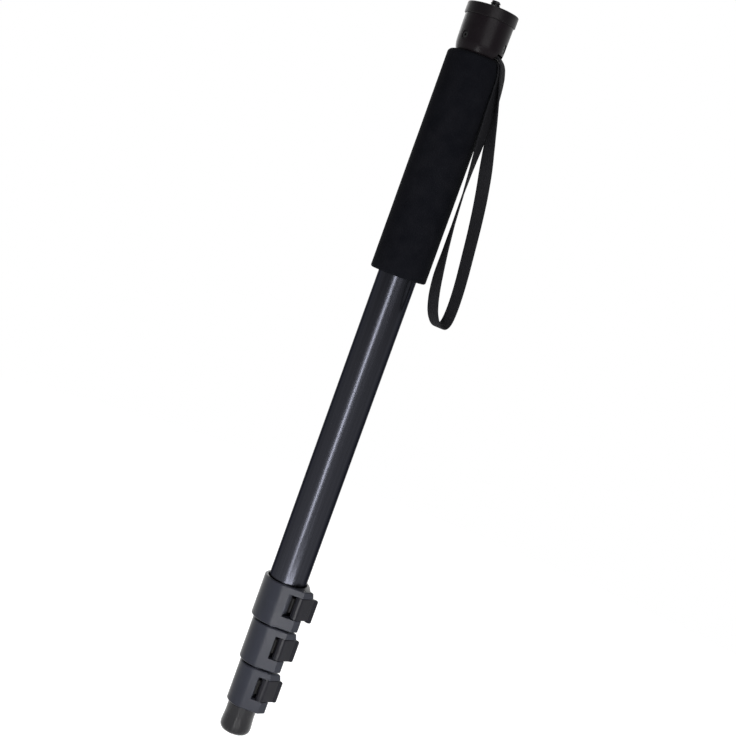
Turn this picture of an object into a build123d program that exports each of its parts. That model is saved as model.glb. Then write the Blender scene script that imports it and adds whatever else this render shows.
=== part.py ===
from build123d import *

import os
from math import acos, atan2, ceil, cos, degrees, hypot, radians, sin, tan

# A four-section camera monopod, folded. The axis is +Z, the origin is the middle of
# the foot's underside, and the front is -Y. All sizes are in millimetres.

# Tubes, the widest on top
upper_tube_diameter = 25.0
tube_step = 3.0
tube_wall = 1.0
leg_travel = 355.0
upper_tube_spare = 35.0
sections = 4

# Fits
running_clearance = 0.06
foam_clearance = 0.1
seat_gap = 0.3
cut_overrun = 5.0

# Rubber foot and the plug that holds it
foot_show = 20.0
foot_wall = 1.7
foot_flare = 0.5
foot_flare_height = 5.5
foot_taper_height = 12.0
foot_round = 4.0
foot_floor = 5.0
foot_mouth_chamfer = 0.4
plug_flange = 2.0
plug_depth = 15.0
plug_wall = 4.0

# Lock collars
collar_length = 27.9
collar_gap = 1.7
collar_wall = 2.1
first_collar_extra = 0.6
collar_crown = 4.4
collar_edge = 0.6
collar_lip_height = 1.5
collar_lip_clearance = 0.5
collar_mouth_groove = 0.8
collar_mouth_depth = 1.6

# Boss and window of each lock, which face half way between front and right
lock_bearing = 45.0
barrel_gap = 0.5
first_boss_extra = 1.0
boss_flat_width = 5.6
brow_reach = 3.8
brow_slant = 2.0
window_reach = 5.7
first_window_extra = 2.2
window_clearance = 0.35

# Cam lever
lever_height = 14.8
lever_reach = 10.9
first_lever_extra = 1.0
flap_thickness = 2.6
finger_lip_length = 2.6
finger_lip_rise = 0.9
finger_lip_thickness = 1.6
first_lip_drop = 1.2
lever_corner = 0.8
lever_edge = 0.3
barrel_radius = 3.0
cam_offset = 0.45
cam_clearance = 0.12
hinge_pin_radius = 1.1
hinge_pin_clearance = 0.05
hinge_pin_depth = 5.0
hinge_pin_recess = 0.3

# Lock shoe, which the cam presses on the next tube
shoe_width = 6.0
shoe_height = 9.6
shoe_clearance = 0.15
shoe_edge = 0.4

# Bushes
guide_bush_height = 4.0
guide_bush_slit = 2.0
top_bush_depth = 8.0
top_bush_rim_height = 3.0
top_bush_wall = 1.5
top_bush_edge = 0.5
stop_clearance = 0.3

# Foam grip
grip_length = 142.9
foam_wall = 5.6
grip_top_round = 3.0
grip_bottom_round = 1.2

# Head body
head_height = 22.7
head_roof = 3.0
head_wall = 3.1
head_draft = 0.2
head_waist_height = 7.0
head_foot_taper = 1.5

# Camera platform
platform_height = 7.0
platform_overhang = 0.85
platform_top_round = 0.7
platform_bottom_round = 0.4
pad_border = 2.05
pad_screw_margin = 1.625
pad_recess = 1.2
pad_proud = 0.4
pad_edge = 0.3

# Camera screw, a quarter inch across
camera_screw_radius = 3.175
camera_screw_show = 5.3
camera_screw_chamfer = 0.9
camera_screw_shoulder = 0.6
camera_screw_fit = 0.05
screw_head_overhang = 1.825
screw_head_height = 3.6
screw_head_sides = 6

# Set screws that hold the head on the tube
set_screw_count = 3
set_screw_bearing = -48.0
set_screw_height = 8.8
set_screw_radius = 1.9
set_screw_sink = 0.5
set_screw_counterbore = 2.7
set_screw_socket = 0.9
set_screw_socket_depth = 1.2

# Wrist strap notch and pin at the head's lower edge
strap_bearing = 68.0
notch_clearance = 0.3
notch_height = 4.4
strap_pin_radius = 0.7
strap_pin_seat = 1.0
strap_pin_gap = 0.2
strap_pin_height = 1.5

# Wrist strap, flat webbing
strap_width = 8.4
strap_thickness = 1.2
strap_longest_step = 6.0
strap_bend_step = 15.0

# The strap's dent in the grip's shoulder: distance from the axis and drop below the
# grip's top
grip_dent = [
    (13.9, 0.7),
    (15.8, 1.5),
    (18.5, 9.4),
]

# The strap's route from the notch down the outer strand, round the loop and up the
# inner strand. The third value is the height over the head's lower edge, and the
# fourth is the bearing of the webbing's width from +X.
strap_route = [
    (12.24, -4.94, 3.1, 68.0),
    (16.7, -6.74, 1.1, 68.0),
    (19.1, -7.72, -8.0, 68.0),
    (21.5, -8.2, -19.7, 76.0),
    (23.7, -7.9, -33.4, 92.0),
    (25.8, -7.1, -48.7, 136.0),
    (29.5, -5.9, -65.4, 164.0),
    (32.8, -4.4, -82.8, 159.0),
    (35.3, -3.1, -101.1, 151.0),
    (37.2, -2.1, -119.0, 148.0),
    (38.9, -1.2, -135.5, 145.0),
    (39.5, -0.7, -148.5, 143.5),
    (39.3, -0.9, -156.7, 143.5),
    (38.5, -2.2, -161.7, 143.5),
    (36.7, -4.8, -164.3, 143.5),
    (34.4, -8.0, -164.5, 143.5),
    (31.9, -11.2, -162.7, 143.5),
    (29.6, -14.2, -159.5, 143.5),
    (27.4, -16.7, -155.0, 142.0),
    (25.0, -17.7, -146.1, 139.0),
    (23.3, -17.0, -134.3, 131.0),
    (22.4, -15.5, -118.9, 111.0),
    (21.5, -13.7, -101.7, 97.0),
    (20.9, -11.9, -83.5, 90.0),
    (20.4, -10.4, -65.3, 75.0),
    (20.4, -9.6, -48.1, 62.0),
    (20.1, -8.7, -31.4, 62.0),
    (18.8, -7.8, -16.7, 66.0),
    (17.62, -7.12, -8.0, 68.0),
    (15.58, -6.29, -0.8, 68.0),
    (12.24, -4.94, 0.0, 68.0),
]


def tube_radius(number):
    return (upper_tube_diameter - (number - 1) * tube_step) / 2


def tube_bore(number):
    return tube_radius(number) - tube_wall


def first_only(number, extra):
    return extra if number == 1 else 0


def collar_bottom(number):
    return foot_show + (sections - 1 - number) * (collar_length + collar_gap)


def collar_top(number):
    return collar_bottom(number) + collar_length


def collar_radius(number):
    return tube_radius(number) + collar_wall + first_only(number, first_collar_extra)


def tube_bottom(number):
    if number == sections:
        return foot_floor + plug_flange
    return collar_bottom(number) + collar_lip_height + guide_bush_height


def tube_top(number):
    if number == 1:
        return tube_top(2) + top_bush_rim_height + upper_tube_spare
    return tube_bottom(number - 1) + leg_travel + stop_clearance


def flat_distance(number):
    reach = barrel_gap + 2 * barrel_radius + first_only(number, first_boss_extra)
    return tube_radius(number) + reach


def pin_distance(number):
    return flat_distance(number) - barrel_radius + cam_offset


def lever_level(number):
    return collar_top(number) - collar_crown - window_half


# Heights and radii that follow from the sizes above
window_half = lever_height / 2 + window_clearance
platform_bottom = tube_top(1) + head_roof
platform_top = platform_bottom + platform_height
head_bottom = platform_bottom - head_height
grip_top = head_bottom - seat_gap
grip_bottom = grip_top - grip_length
grip_radius = tube_radius(1) + foam_clearance + foam_wall
head_radius = tube_radius(1) + head_wall
head_waist_radius = head_radius - head_draft
head_foot_radius = head_waist_radius - head_foot_taper
platform_radius = head_radius + platform_overhang
screw_shoulder_radius = camera_screw_radius + camera_screw_shoulder
screw_head_radius = screw_shoulder_radius + screw_head_overhang
pad_outer_radius = platform_radius - pad_border
pad_inner_radius = screw_shoulder_radius + pad_screw_margin
plug_bore_radius = tube_bore(sections) - plug_wall
notch_width = strap_width + 2 * notch_clearance
strap_pin_length = notch_width + 2 * strap_pin_seat
strap_pin_distance = tube_radius(1) + strap_pin_gap + strap_pin_radius


def ring(outer, inner, bottom, top):
    """A plain tube round the axis."""
    height = top - bottom
    body = Cylinder(outer, height) - Cylinder(inner, height)
    return Pos(0, 0, (bottom + top) / 2) * body


def rod(radius, bottom, top):
    """A plain cylinder round the axis."""
    return Pos(0, 0, (bottom + top) / 2) * Cylinder(radius, top - bottom)


def block(low, high):
    """A box from its lowest to its highest corner."""
    size = [high[axis] - low[axis] for axis in range(3)]
    middle = [(high[axis] + low[axis]) / 2 for axis in range(3)]
    return Pos(*middle) * Box(*size)


def turned(profile):
    """A solid turned round the axis from lines in the XZ plane."""
    return revolve(make_face(profile), Axis.Z)


def toward(bearing):
    """Turns +X to a bearing counted from the front towards the right."""
    return Rot(0, 0, bearing - 90)


def upper_tube():
    tube = ring(tube_radius(1), tube_bore(1), tube_bottom(1), tube_top(1))
    return tube - shoe_window(1)


def leg_tube(number):
    tube = ring(tube_radius(number), tube_bore(number), tube_bottom(number), tube_top(number))
    if number < sections:
        tube -= shoe_window(number)
    return tube


def shoe_window(number):
    """The hole in a tube's lower end that its lock's shoe works through."""
    half_width = shoe_width / 2 + shoe_clearance
    half_height = shoe_height / 2 + shoe_clearance
    level = lever_level(number)
    far = tube_radius(number) + cut_overrun
    hole = block((0, -half_width, level - half_height), (far, half_width, level + half_height))
    return toward(lock_bearing) * hole


def boss_corners(number):
    """The two ends of the boss's flat, in the lock's own plane."""
    flat = flat_distance(number)
    turn = radians(lock_bearing)
    first = (flat * cos(turn) - collar_radius(number)) / sin(turn)
    return (flat, first), (flat, first + boss_flat_width)


def collar_outline(number):
    """A circle that swells along its tangents into the boss's flat."""
    radius = collar_radius(number)
    near, far = boss_corners(number)
    front = radians(-lock_bearing)
    side = atan2(far[1], far[0]) + acos(radius / hypot(*far))
    start = (radius * cos(front), radius * sin(front))
    end = (radius * cos(side), radius * sin(side))
    return Circle(radius) + make_face(Polyline((0, 0), start, near, far, end, close=True))


def lever_window(number):
    """The slot for the lever: deep round its barrel, shallow behind its flap."""
    half = window_half
    level = lever_level(number)
    flat = flat_distance(number)
    reach = flat + cut_overrun
    left = -(window_reach + first_only(number, first_window_extra))
    right = barrel_radius + cam_offset + window_clearance
    behind = flat - flap_thickness - window_clearance
    beyond = lever_reach + first_only(number, first_lever_extra) + cut_overrun
    deep = block((0, left, level - half), (reach, right, level + half))
    shallow = block((behind, 0, level - half), (reach, beyond, level + half))
    return deep + shallow


def brow(number):
    """The hood over the lever, whose end slants outwards down to the lever's top."""
    bottom, top = lever_level(number) + window_half, collar_top(number)
    near, far = boss_corners(number)
    reach = far[1] + brow_reach
    side = Polyline((0, bottom), (reach, bottom), (reach - brow_slant, top), (0, top), close=True)
    hood = extrude(Plane.YZ * make_face(side), amount=flat_distance(number))
    return chamfer(hood.faces().sort_by(Axis.Z)[-1].edges(), collar_edge)


def lock_collar(number):
    bottom, top = collar_bottom(number), collar_top(number)
    body = Pos(0, 0, bottom) * extrude(collar_outline(number), amount=top - bottom)
    ends = body.faces().filter_by(Axis.Z)
    body = chamfer(ends.edges(), collar_edge) + brow(number)
    socket = tube_radius(number)
    body -= rod(socket, bottom + collar_lip_height, top)
    body -= rod(tube_radius(number + 1) + collar_lip_clearance, bottom, top)
    body -= rod(socket + collar_mouth_groove, top - collar_mouth_depth, top)
    body -= lever_window(number)
    body -= Pos(pin_distance(number), 0, 0) * rod(hinge_pin_radius, pin_foot(number), top)
    return toward(lock_bearing) * body


def pin_foot(number):
    return lever_level(number) - window_half - hinge_pin_depth


def lever_pin(number):
    pin = rod(hinge_pin_radius, pin_foot(number), collar_top(number) - hinge_pin_recess)
    pin = chamfer(pin.edges().filter_by(GeomType.CIRCLE), hinge_pin_recess)
    return toward(lock_bearing) * Pos(pin_distance(number), 0, 0) * pin


def finger_lip(number):
    """The lever's slanting end, seen from above."""
    flat = flat_distance(number)
    reach = lever_reach + first_only(number, first_lever_extra)
    bend = reach - finger_lip_length
    tip = flat + finger_lip_rise
    return make_face(Polyline(
        (flat, bend),
        (tip, reach),
        (tip - finger_lip_thickness, reach),
        (flat - flap_thickness, bend),
        close=True,
    ))


def lever_outline(number):
    """The cam barrel, the flat flap and the finger lip, seen from above."""
    flat = flat_distance(number)
    bend = lever_reach + first_only(number, first_lever_extra) - finger_lip_length
    flap = Pos(flat - flap_thickness / 2, bend / 2) * Rectangle(flap_thickness, bend)
    barrel = Pos(pin_distance(number) - cam_offset, 0) * Circle(barrel_radius)
    return barrel + flap + finger_lip(number)


def lock_lever(number):
    """A lever whose first, largest kind has a lip that hangs below its flap."""
    height = lever_height
    drop = first_only(number, first_lip_drop)
    body = extrude(lever_outline(number), amount=height)
    if drop:
        body += Pos(0, 0, -drop) * extrude(finger_lip(number), amount=height)
    tip = body.faces().sort_by(Axis.Y)[-1]
    body = chamfer(tip.edges().filter_by(Axis.X), lever_corner)
    rims = body.faces().filter_by(Axis.Z).edges()
    body = fillet(rims, lever_edge)
    hole = rod(hinge_pin_radius + hinge_pin_clearance, 0, height)
    body -= Pos(pin_distance(number), 0, 0) * hole
    return toward(lock_bearing) * Pos(0, 0, lever_level(number) - height / 2) * body


def lock_shoe(number):
    """A pad whose hollow inner face fits the next tube."""
    inner = tube_radius(number + 1) + running_clearance
    outer = flat_distance(number) - 2 * barrel_radius - cam_clearance
    half_width, half_height = shoe_width / 2, shoe_height / 2
    level = lever_level(number)
    pad = block((0, -half_width, level - half_height), (outer, half_width, level + half_height))
    rims = pad.faces().sort_by(Axis.X)[-1].edges()
    pad = chamfer(rims, shoe_edge)
    pad -= rod(inner, level - shoe_height, level + shoe_height)
    return toward(lock_bearing) * pad


def guide_bush(number):
    """The split ring under a tube's end that the next tube slides in."""
    bottom = collar_bottom(number) + collar_lip_height
    top = bottom + guide_bush_height
    outer = tube_radius(number)
    body = ring(outer, tube_radius(number + 1) + running_clearance, bottom, top)
    half = guide_bush_slit / 2
    body -= block((-half, 0, bottom), (half, outer + cut_overrun, top))
    return body


def top_bush(number):
    """The plug in a leg tube's upper end, whose rim slides in the tube above."""
    top = tube_top(number)
    rim_top = top + top_bush_rim_height
    rim = rod(tube_bore(number - 1) - running_clearance, top, rim_top)
    rim = chamfer(rim.edges().filter_by(GeomType.CIRCLE).sort_by(Axis.Z)[-1], top_bush_edge)
    body = rod(tube_bore(number), top - top_bush_depth, top) + rim
    return body - rod(tube_bore(number) - top_bush_wall, top - top_bush_depth, rim_top)


def foot_plug():
    """The hard plug between the lowest tube's end and the rubber foot."""
    tube = sections
    body = rod(tube_radius(tube), foot_floor, foot_floor + plug_flange)
    body += rod(tube_bore(tube), foot_floor + plug_flange, foot_floor + plug_flange + plug_depth)
    return body - rod(plug_bore_radius, foot_floor, foot_floor + plug_flange + plug_depth)


def rubber_foot():
    """A cup with a domed underside that flares a little near the ground."""
    inner = tube_radius(sections)
    outer = inner + foot_wall
    wide = outer + foot_flare
    top = foot_show - seat_gap
    level = radians(45)
    dome_middle = (wide - foot_round * (1 - sin(level)), 0, foot_round * (1 - cos(level)))
    outline = Polyline((0, 0, foot_floor), (0, 0, 0), (wide - foot_round, 0, 0))
    dome = ThreePointArc((wide - foot_round, 0, 0), dome_middle, (wide, 0, foot_round))
    side = Polyline(
        (wide, 0, foot_round),
        (wide, 0, foot_flare_height),
        (outer, 0, foot_taper_height),
        (outer, 0, top - foot_mouth_chamfer),
        (outer - foot_mouth_chamfer, 0, top),
        (inner, 0, top),
        (inner, 0, foot_floor),
        (0, 0, foot_floor),
    )
    return turned(outline + dome + side)


def foam_grip():
    body = ring(grip_radius, tube_radius(1) + foam_clearance, grip_bottom, grip_top)
    rims = body.edges().filter_by(GeomType.CIRCLE).sort_by(Axis.Z)
    upper = max(rims[-2:], key=lambda edge: edge.radius)
    body = fillet(upper, grip_top_round)
    rims = body.edges().filter_by(GeomType.CIRCLE).sort_by(Axis.Z)
    lower = max(rims[:2], key=lambda edge: edge.radius)
    return fillet(lower, grip_bottom_round) - strap_dent()


def strap_dent():
    """Where the strap presses the grip's shoulder in."""
    above = grip_top + cut_overrun
    floor = [(reach, grip_top - drop) for reach, drop in grip_dent]
    inner, outer = (0, floor[0][1]), (floor[-1][0], above)
    side = Polyline((0, above), inner, *floor, outer, close=True)
    dent = extrude(Plane.XZ * make_face(side), amount=notch_width / 2, both=True)
    return toward(strap_bearing) * dent


def head_profile():
    """The head's outline, drawn in to its lower edge by one long arc."""
    lean = head_waist_radius - head_foot_radius
    arc_radius = (lean * lean + head_waist_height * head_waist_height) / (2 * lean)
    turn = atan2(head_waist_height, arc_radius - lean) / 2
    middle = (
        head_waist_radius - arc_radius * (1 - cos(turn)),
        0,
        head_bottom + head_waist_height - arc_radius * sin(turn),
    )
    waist = (head_waist_radius, 0, head_bottom + head_waist_height)
    foot = (head_foot_radius, 0, head_bottom)
    return ThreePointArc(foot, middle, waist) + Polyline(
        waist,
        (head_radius, 0, platform_bottom),
        (0, 0, platform_bottom),
        (0, 0, head_bottom),
        foot,
    )


def set_screw_place(index):
    bearing = set_screw_bearing + index * 360 / set_screw_count
    return toward(bearing) * Pos(0, 0, head_bottom + set_screw_height) * Rot(0, 90, 0)


def head_body():
    body = turned(head_profile())
    body -= rod(tube_radius(1), head_bottom, tube_top(1))
    sunk = head_waist_radius - set_screw_sink
    for index in range(set_screw_count):
        place = set_screw_place(index)
        body -= place * rod(set_screw_radius, 0, head_radius + cut_overrun)
        body -= place * rod(set_screw_counterbore, sunk, head_radius + cut_overrun)
    half = notch_width / 2
    notch_top = head_bottom + notch_height
    notch = block((0, -half, head_bottom), (head_radius + cut_overrun, half, notch_top))
    body -= toward(strap_bearing) * notch
    return body - strap_pin()


def strap_pin():
    """The pin across the notch that the webbing's ends are sewn round."""
    pin = Cylinder(strap_pin_radius, strap_pin_length)
    place = Pos(strap_pin_distance, 0, head_bottom + strap_pin_height) * Rot(90, 0, 0)
    return toward(strap_bearing) * place * pin


def head_screws():
    """Three headless screws with hexagon sockets."""
    outer = head_waist_radius - set_screw_sink
    screw = rod(set_screw_radius, tube_radius(1), outer)
    socket = extrude(RegularPolygon(set_screw_socket, 6), amount=set_screw_socket_depth)
    screw -= Pos(0, 0, outer - set_screw_socket_depth) * socket
    return Compound([set_screw_place(index) * screw for index in range(set_screw_count)])


def camera_platform():
    body = rod(platform_radius, platform_bottom, platform_top)
    rims = body.edges().filter_by(GeomType.CIRCLE).sort_by(Axis.Z)
    body = fillet(rims[-1], platform_top_round)
    rims = body.edges().filter_by(GeomType.CIRCLE).sort_by(Axis.Z)
    body = fillet(rims[0], platform_bottom_round)
    body -= ring(pad_outer_radius, pad_inner_radius, platform_top - pad_recess, platform_top)
    body -= Pos(0, 0, platform_bottom) * screw_head_blank()
    bore = screw_shoulder_radius + camera_screw_fit
    return body - rod(bore, platform_bottom, platform_top)


def screw_head_blank():
    return extrude(RegularPolygon(screw_head_radius, screw_head_sides), amount=screw_head_height)


def camera_screw():
    """The stud, its shoulder in the platform's bore and its sunk head."""
    stud = rod(camera_screw_radius, platform_bottom, platform_top + camera_screw_show)
    stud = chamfer(stud.edges().sort_by(Axis.Z)[-1], camera_screw_chamfer)
    stud += rod(screw_shoulder_radius, platform_bottom, platform_top)
    return stud + Pos(0, 0, platform_bottom) * screw_head_blank()


def platform_pad():
    bottom = platform_top - pad_recess
    body = ring(pad_outer_radius, pad_inner_radius, bottom, platform_top + pad_proud)
    upper = body.faces().sort_by(Axis.Z)[-1].edges()
    return fillet(upper, pad_edge)


def strap_points():
    return [Vector(x, y, head_bottom + height) for x, y, height, turn in strap_route]


def strap_radii(points):
    """Arcs as large as the two runs beside each corner allow."""
    arc_share = 0.45
    radii = []
    for before, here, after in zip(points, points[1:], points[2:]):
        turn = radians((here - before).get_angle(after - here))
        shorter = min((here - before).length, (after - here).length)
        radii.append(arc_share * shorter / tan(turn / 2))
    return radii


def strap_stations(path):
    """Distances along the path where the webbing's section is drawn."""
    stations, start = [0], 0
    for edge in path.edges():
        steps = ceil(edge.length / strap_longest_step)
        if edge.geom_type == GeomType.CIRCLE:
            bend = degrees(edge.length / edge.radius)
            steps = max(steps, ceil(bend / strap_bend_step))
        stations += [start + edge.length * step / steps for step in range(1, steps + 1)]
        start += edge.length
    return stations


def strap_turn_at(share, points):
    """The bearing of the webbing's width at a share of the route's length."""
    runs = [(after - before).length for before, after in zip(points, points[1:])]
    left = share * sum(runs)
    for index, run in enumerate(runs):
        if left <= run or index == len(runs) - 1:
            part = min(left / run, 1)
            first, second = strap_route[index][3], strap_route[index + 1][3]
            return radians(first + (second - first) * part)
        left -= run


def wrist_strap():
    """Flat webbing that twists on its way round the loop."""
    points = strap_points()
    radii = strap_radii(points)
    path = FilletPolyline(*points, radius=radii)
    length = path.length
    half_width, half_thickness = strap_width / 2, strap_thickness / 2
    sections_of_strap = []
    for station in strap_stations(path):
        middle = path.position_at(station, position_mode=PositionMode.LENGTH)
        along = path.tangent_at(station, position_mode=PositionMode.LENGTH)
        turn = strap_turn_at(station / length, points)
        across = Vector(cos(turn), sin(turn), 0)
        across = (across - along * across.dot(along)).normalized()
        through = along.cross(across)
        signs = [(-1, -1), (1, -1), (1, 1), (-1, 1)]
        corners = [
            middle + across * (half_width * side) + through * (half_thickness * face)
            for side, face in signs
        ]
        sections_of_strap.append(Wire.make_polygon(corners, close=True))
    strap = Solid.make_loft(sections_of_strap, ruled=True)
    print("strap radii", [round(radius, 1) for radius in radii])
    print("strap length", round(length, 1), "volume", round(strap.volume, 1),
          "section times length", round(strap_width * strap_thickness * length, 1))
    return strap


def make_parts():
    parts = {
        "rubber_foot": rubber_foot(),
        "foot_plug": foot_plug(),
        "upper_tube": upper_tube(),
        "foam_grip": foam_grip(),
        "head_body": head_body(),
        "head_screws": head_screws(),
        "strap_pin": strap_pin(),
        "camera_platform": camera_platform(),
        "platform_pad": platform_pad(),
        "camera_screw": camera_screw(),
        "wrist_strap": wrist_strap(),
    }
    for number in range(1, sections):
        parts[f"lock_collar_{number}"] = lock_collar(number)
        parts[f"lock_lever_{number}"] = lock_lever(number)
        parts[f"lever_pin_{number}"] = lever_pin(number)
        parts[f"lock_shoe_{number}"] = lock_shoe(number)
        parts[f"guide_bush_{number}"] = guide_bush(number)
        parts[f"leg_tube_{number + 1}"] = leg_tube(number + 1)
        parts[f"top_bush_{number + 1}"] = top_bush(number + 1)
    return parts


os.makedirs("parts", exist_ok=True)
for name, shape in make_parts().items():
    export_step(shape, f"parts/{name}.step")

for number in range(1, sections):
    turn = radians(lock_bearing)
    distance = pin_distance(number)
    print("lock", number, "lever pin at", round(distance * sin(turn), 3),
          round(-distance * cos(turn), 3), round(lever_level(number), 3))
print("platform top", round(platform_top, 2), "head bottom", round(head_bottom, 2))
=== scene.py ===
"""Looks of a folded four-section camera monopod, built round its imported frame.

The frame holds the rigid pieces at their real size. This script gives each of them its
finish, and models the foam grip, the webbing wrist strap, the threaded camera screw and
the ribbed platform pad. All sizes are in metres, +Z is up along the tubes and the front
is -Y.
"""

import logging
import math
from collections.abc import Callable
from dataclasses import dataclass, field
from enum import Enum

import bmesh
import bpy
from mathutils import Matrix, Vector

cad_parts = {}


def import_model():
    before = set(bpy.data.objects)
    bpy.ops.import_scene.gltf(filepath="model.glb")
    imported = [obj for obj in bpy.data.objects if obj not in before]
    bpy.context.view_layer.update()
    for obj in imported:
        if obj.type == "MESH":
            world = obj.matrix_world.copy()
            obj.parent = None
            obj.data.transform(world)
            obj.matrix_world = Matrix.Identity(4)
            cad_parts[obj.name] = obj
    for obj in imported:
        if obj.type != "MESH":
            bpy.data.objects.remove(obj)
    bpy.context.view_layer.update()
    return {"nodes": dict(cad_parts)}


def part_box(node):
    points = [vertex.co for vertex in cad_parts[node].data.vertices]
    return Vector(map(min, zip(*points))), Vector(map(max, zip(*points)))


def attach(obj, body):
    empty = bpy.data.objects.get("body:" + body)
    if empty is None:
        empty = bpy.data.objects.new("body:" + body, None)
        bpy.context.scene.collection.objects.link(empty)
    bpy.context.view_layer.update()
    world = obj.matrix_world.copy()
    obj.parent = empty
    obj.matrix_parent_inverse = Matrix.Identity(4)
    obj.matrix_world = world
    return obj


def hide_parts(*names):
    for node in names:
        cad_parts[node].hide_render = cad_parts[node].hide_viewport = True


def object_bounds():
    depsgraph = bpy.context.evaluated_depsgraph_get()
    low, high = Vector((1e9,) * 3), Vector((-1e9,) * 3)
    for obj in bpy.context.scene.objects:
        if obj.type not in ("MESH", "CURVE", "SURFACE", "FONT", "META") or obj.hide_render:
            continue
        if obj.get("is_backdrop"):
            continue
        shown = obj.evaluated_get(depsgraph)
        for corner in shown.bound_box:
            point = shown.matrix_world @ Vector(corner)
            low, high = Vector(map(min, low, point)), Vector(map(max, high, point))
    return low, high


LOG = logging.getLogger("monopod")
MM = 0.001
INCH = 0.0254
# Points of a new mesh that are nearer to each other than this become one
MERGE_GAP = 1e-6
# Points of a turned mesh are on one ring if their heights differ by less than this
RING_GAP = 1e-7
# How far past a line's end a point on it may lie, as a share of the line
SHARE_GAP = 1e-6
# Two lines whose cross product is under this don't meet
PARALLEL = 1e-12
# Turns a shader's anisotropy from round a piece to along it, in whole turns
QUARTER_TURN = 0.25
# The part of a noise texture's range where most of its values lie
NOISE_MIDDLE = (0.3, 0.7)

Colour = tuple[float, float, float]
Place = tuple[float, float, float]
Profile = list[tuple[float, float]]
Piece = bpy.types.Object
Node = bpy.types.Node
Socket = bpy.types.NodeSocket
Masks = tuple[Socket, Socket, Socket]


class Ends(Enum):
    """What becomes of the first and the last ring of a turned piece."""

    OPEN = "open"
    CAPPED = "capped"


# The strap's route from the notch in the head down the outer strand, round the loop and
# up the inner strand. The third value is the height over the head's lower edge, and the
# fourth is the bearing of the webbing's width from +X, in degrees.
STRAP_ROUTE = (
    (0.01224, -0.00494, 0.0032, 68.0),
    (0.0164, -0.00663, 0.00065, 68.0),
    (0.0191, -0.00772, -0.008, 68.0),
    (0.0215, -0.0082, -0.0197, 84.0),
    (0.0234, -0.0079, -0.0334, 112.0),
    (0.0258, -0.0071, -0.0487, 140.0),
    (0.0295, -0.0059, -0.0654, 164.0),
    (0.0328, -0.0044, -0.0828, 159.0),
    (0.0353, -0.0031, -0.1011, 151.0),
    (0.0372, -0.0021, -0.119, 148.0),
    (0.0389, -0.0012, -0.1355, 145.0),
    (0.0395, -0.0007, -0.1485, 143.5),
    (0.0393, -0.0009, -0.1567, 143.5),
    (0.0385, -0.0022, -0.1617, 143.5),
    (0.0367, -0.0048, -0.1643, 143.5),
    (0.0344, -0.008, -0.1645, 143.5),
    (0.0319, -0.0112, -0.1627, 143.5),
    (0.0296, -0.0142, -0.1595, 143.5),
    (0.0274, -0.0167, -0.155, 142.0),
    (0.025, -0.0177, -0.1461, 139.0),
    (0.0233, -0.017, -0.1343, 131.0),
    (0.0224, -0.0155, -0.1189, 111.0),
    (0.0215, -0.0137, -0.1017, 97.0),
    (0.0209, -0.0119, -0.0835, 90.0),
    (0.0204, -0.0104, -0.0653, 75.0),
    (0.0200, -0.0096, -0.0481, 56.0),
    (0.0193, -0.0088, -0.0314, 52.0),
    (0.0185, -0.0078, -0.0167, 60.0),
    (0.01762, -0.00712, -0.008, 68.0),
    (0.01558, -0.00629, -0.0008, 68.0),
    (0.01224, -0.00494, 0.0, 68.0),
)


def deselect_all() -> None:
    """Leaves object mode with nothing selected."""
    if bpy.context.object and bpy.context.object.mode != "OBJECT":
        bpy.ops.object.mode_set(mode="OBJECT")
    bpy.ops.object.select_all(action="DESELECT")


def make_active(piece: Piece) -> None:
    """Selects one piece alone and makes it the active one.

    Args:
        piece: The object that the next operators act on.
    """
    deselect_all()
    piece.select_set(True)
    bpy.context.view_layer.objects.active = piece


def settle(piece: Piece, name: str) -> Piece:
    """Names a new piece and puts its place, turn and scale into its mesh.

    Args:
        piece: The new object.
        name: Its name in the finished part.

    Returns:
        The same object, at the origin.
    """
    make_active(piece)
    bpy.ops.object.transform_apply(location=True, rotation=True, scale=True)
    piece.name = name
    piece.data.name = name
    return piece


def apply_modifiers(piece: Piece) -> None:
    """Applies every modifier of a piece, in order.

    Args:
        piece: The object whose modifiers become part of its mesh.
    """
    make_active(piece)
    for modifier in list(piece.modifiers):
        bpy.ops.object.modifier_apply(modifier=modifier.name)


def shade(piece: Piece, angle: float) -> None:
    """Shades a piece smooth, apart from its sharper edges.

    Args:
        piece: The object.
        angle: The greatest angle between faces that is shaded smooth, in degrees.
    """
    make_active(piece)
    bpy.ops.object.shade_smooth_by_angle(angle=math.radians(angle))


def mend_mesh(piece: Piece) -> None:
    """Merges doubled points and turns all faces outwards.

    Args:
        piece: The object whose mesh is mended.
    """
    make_active(piece)
    bpy.ops.object.mode_set(mode="EDIT")
    bpy.ops.mesh.select_all(action="SELECT")
    bpy.ops.mesh.remove_doubles(threshold=MERGE_GAP)
    bpy.ops.mesh.normals_make_consistent(inside=False)
    bpy.ops.object.mode_set(mode="OBJECT")


def joined(pieces: list[Piece], name: str) -> Piece:
    """Joins several new pieces into one.

    Args:
        pieces: The objects, of which the first one stays.
        name: The joined object's name.

    Returns:
        The joined object.
    """
    deselect_all()
    for piece in pieces:
        piece.select_set(True)
    bpy.context.view_layer.objects.active = pieces[0]
    bpy.ops.object.join()
    return settle(pieces[0], name)


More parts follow.
